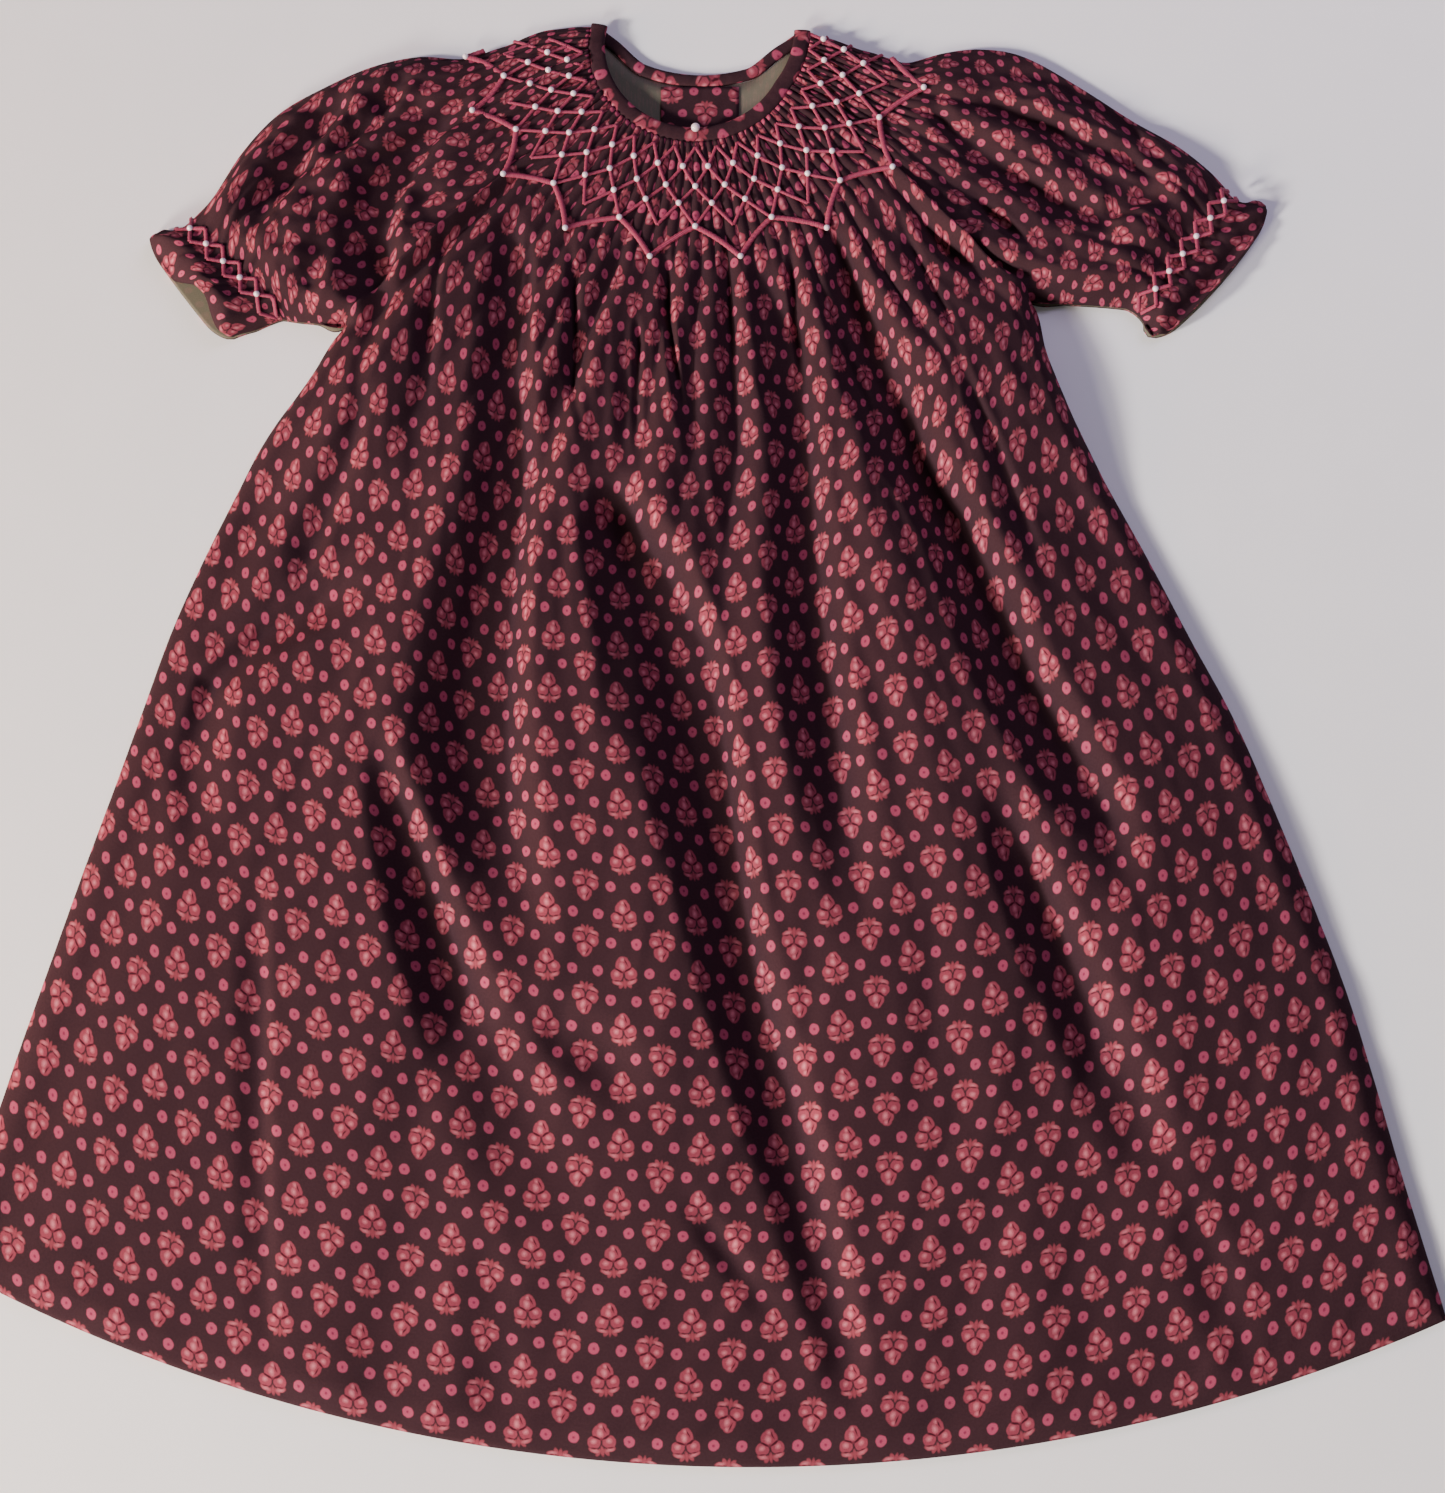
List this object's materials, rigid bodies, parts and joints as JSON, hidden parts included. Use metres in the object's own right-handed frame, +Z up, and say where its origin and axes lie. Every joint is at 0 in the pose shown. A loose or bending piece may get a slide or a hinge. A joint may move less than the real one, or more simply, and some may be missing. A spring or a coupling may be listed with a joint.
{
  "type": "smocked dress",
  "caption": "Girl's dark plum print cotton dress with short puff sleeves, a rose smocked yoke with small pearls and ruffled cuffs, laid flat.",
  "frame": {"origin": "middle of the outline in plan, on the surface the dress lies on", "axes": "+Y towards the neck, +X towards the sleeve at the right of the picture (the wearer's left), +Z up, out of the front of the dress"},
  "size_m": [0.6604, 0.6814, 0.0219],
  "materials": {
    "print_cotton": "matt woven cotton",
    "pearl": "pearly gloss"
  },
  "bodies": {
    "root": {"dress_front": "print_cotton", "dress_back": "print_cotton", "sleeve_left": "print_cotton", "sleeve_right": "print_cotton", "neck_binding_front": "print_cotton", "neck_binding_back": "print_cotton", "back_placket": "print_cotton", "neck_pearl": "pearl"}
  },
  "joints": []
}
